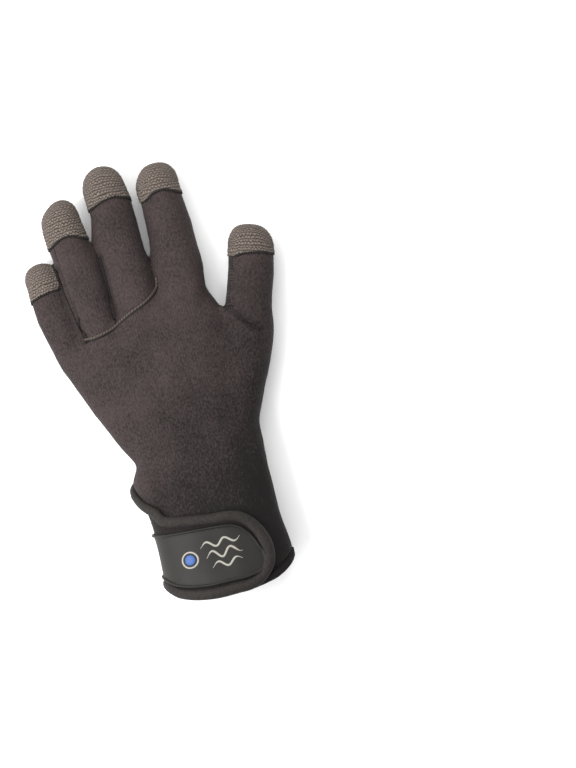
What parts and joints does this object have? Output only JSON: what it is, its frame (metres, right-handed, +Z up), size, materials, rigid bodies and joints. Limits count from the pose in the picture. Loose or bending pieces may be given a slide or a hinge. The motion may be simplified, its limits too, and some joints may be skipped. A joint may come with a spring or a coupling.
{
  "type": "diving glove",
  "caption": "Left-hand neoprene diving glove with a knitted palm and fingertips and a wide wrist strap.",
  "frame": {"origin": "under the middle of the glove, on the surface that it lies on", "axes": "+Y from the cuff to the fingertips, +X towards the thumb, +Z up from the palm to the back of the hand"},
  "size_m": [0.1502, 0.2688, 0.049],
  "materials": {
    "neoprene": "foam rubber faced with fine charcoal jersey, matt",
    "palm_knit": "coarse warm grey knit of cut-resistant yarn, matt",
    "strap_cloth": "padded strap and binding in charcoal jersey, matt",
    "strap_rubber": "smooth dark olive-grey rubber, low sheen"
  },
  "bodies": {
    "root": {"palm_panel": "palm_knit", "back_panel": "neoprene", "middle_finger_back": "neoprene", "ring_finger_back": "neoprene", "wrist_strap": "strap_cloth", "strap_binding": "strap_cloth", "strap_rubber": "strap_rubber"}
  },
  "joints": []
}
